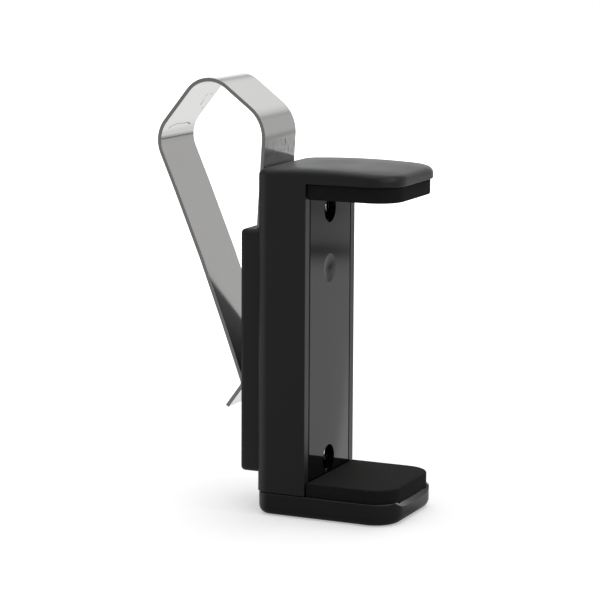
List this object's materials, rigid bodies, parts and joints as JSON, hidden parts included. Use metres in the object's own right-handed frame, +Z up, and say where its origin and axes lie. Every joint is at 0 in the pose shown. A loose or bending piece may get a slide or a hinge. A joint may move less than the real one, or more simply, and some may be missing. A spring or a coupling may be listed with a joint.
{
  "type": "car sun visor phone holder",
  "caption": "Sun visor phone holder: black column with a padded fixed upper jaw, a sprung sliding lower jaw and a bent steel strip that clips onto the visor.",
  "frame": {"origin": "on the foot's flat underside, on the mid plane, below the column's front face", "axes": "+Z up along the column, -Y towards the phone, +X across the column"},
  "size_m": [0.027, 0.0587, 0.0945],
  "materials": {
    "satin_abs": "satin moulded black",
    "polished_abs": "polished black",
    "pad_foam": "matte black foam",
    "strip_steel": "polished stainless",
    "spring_steel": "bright wire",
    "screw_steel": "zinc plated"
  },
  "bodies": {
    "column": {"column_shell": "satin_abs", "upper_jaw_pad": "pad_foam", "rear_block": "satin_abs", "visor_clip": "strip_steel", "upper_clip_screw": "screw_steel", "lower_clip_screw": "screw_steel", "left_spring": "spring_steel", "right_spring": "spring_steel"},
    "slide": {"lower_jaw_slide": "polished_abs", "lower_jaw_pad": "pad_foam"}
  },
  "joints": [
    {"name": "jaw_slide", "type": "slide", "parent": "column", "child": "slide", "axis": [0, 0, -1], "range_m": [0, 0.028], "stiffness_N_per_m": 300, "springref_m": -0.0133, "deforming": ["left_spring", "right_spring"]}
  ]
}
